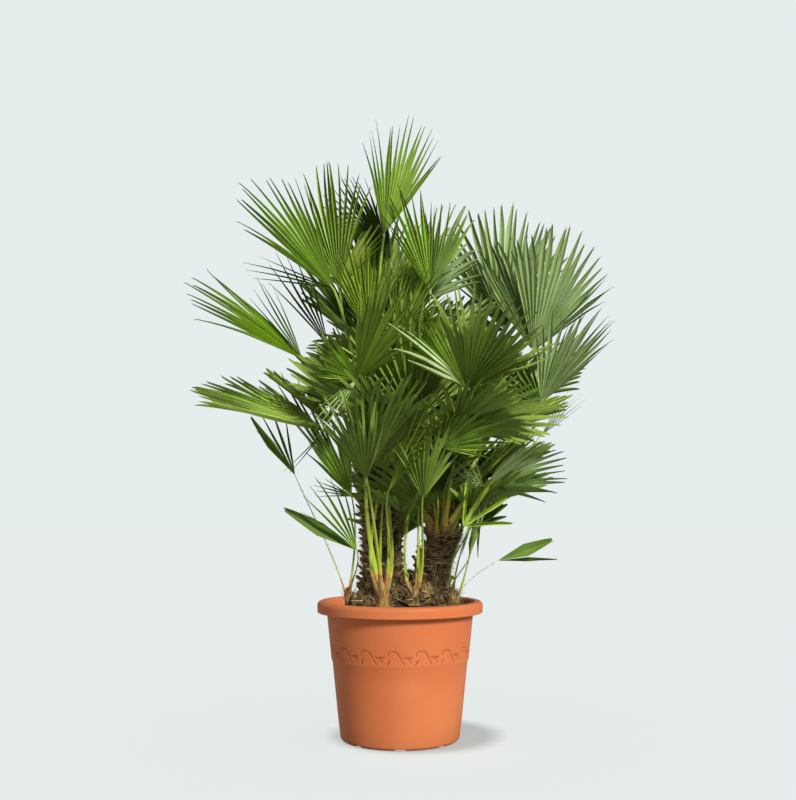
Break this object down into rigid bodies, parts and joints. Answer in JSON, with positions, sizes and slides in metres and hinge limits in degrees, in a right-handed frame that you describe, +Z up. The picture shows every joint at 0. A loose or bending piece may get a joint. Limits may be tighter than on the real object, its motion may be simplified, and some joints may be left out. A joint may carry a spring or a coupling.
{
  "type": "potted fan palm",
  "caption": "European fan palm as a multi-stemmed clump with stiff fan-shaped fronds, in a round terracotta-coloured plastic pot.",
  "frame": {"origin": "middle of the pot's flat underside", "axes": "+Z up along the plant, -Y towards the side the picture shows, +X to its right"},
  "size_m": [1.1918, 1.1174, 1.7648],
  "materials": {
    "pot_plastic": "satin moulded plastic in terracotta orange, with a leafy garland band lightly pressed into it",
    "compost": "dark crumbly potting compost with bark scraps",
    "trunk_fibre": "shaggy brown fibre between the stubs of old leaf bases",
    "sheath": "dry orange-brown leaf sheath",
    "frond_green": "stiff satin leaf blade, mid green, paler along the ribs",
    "young_green": "young leaf blade on a yellow-green stalk"
  },
  "bodies": {
    "root": {"pot": "pot_plastic", "soil": "compost", "trunk_left": "trunk_fibre", "trunk_right": "trunk_fibre", "left_sucker": "sheath", "front_sucker": "sheath", "middle_sucker": "sheath", "right_sucker": "sheath", "back_sucker": "sheath", "far_sucker": "sheath", "frond_01": "frond_green", "frond_02": "frond_green", "frond_03": "frond_green", "frond_04": "frond_green", "frond_05": "frond_green", "frond_06": "frond_green", "frond_07": "frond_green", "frond_08": "frond_green", "frond_09": "frond_green", "frond_10": "frond_green", "frond_11": "frond_green", "frond_12": "frond_green", "frond_13": "frond_green", "frond_14": "frond_green", "frond_15": "frond_green", "frond_16": "frond_green", "frond_17": "frond_green", "frond_18": "frond_green", "frond_19": "frond_green", "frond_20": "frond_green", "frond_21": "frond_green", "frond_22": "frond_green", "frond_23": "frond_green", "frond_24": "frond_green", "frond_25": "young_green", "frond_26": "young_green", "frond_27": "young_green", "frond_28": "young_green", "frond_29": "young_green", "frond_30": "young_green", "frond_31": "young_green", "frond_32": "young_green", "frond_33": "young_green", "frond_34": "young_green", "frond_35": "frond_green", "frond_36": "frond_green", "frond_37": "frond_green", "frond_38": "frond_green", "frond_39": "frond_green", "frond_40": "frond_green", "frond_41": "frond_green", "frond_42": "frond_green", "frond_43": "frond_green", "frond_44": "frond_green", "frond_45": "frond_green", "frond_46": "frond_green", "frond_47": "frond_green", "frond_48": "young_green", "frond_49": "young_green", "frond_50": "young_green"}
  },
  "joints": []
}
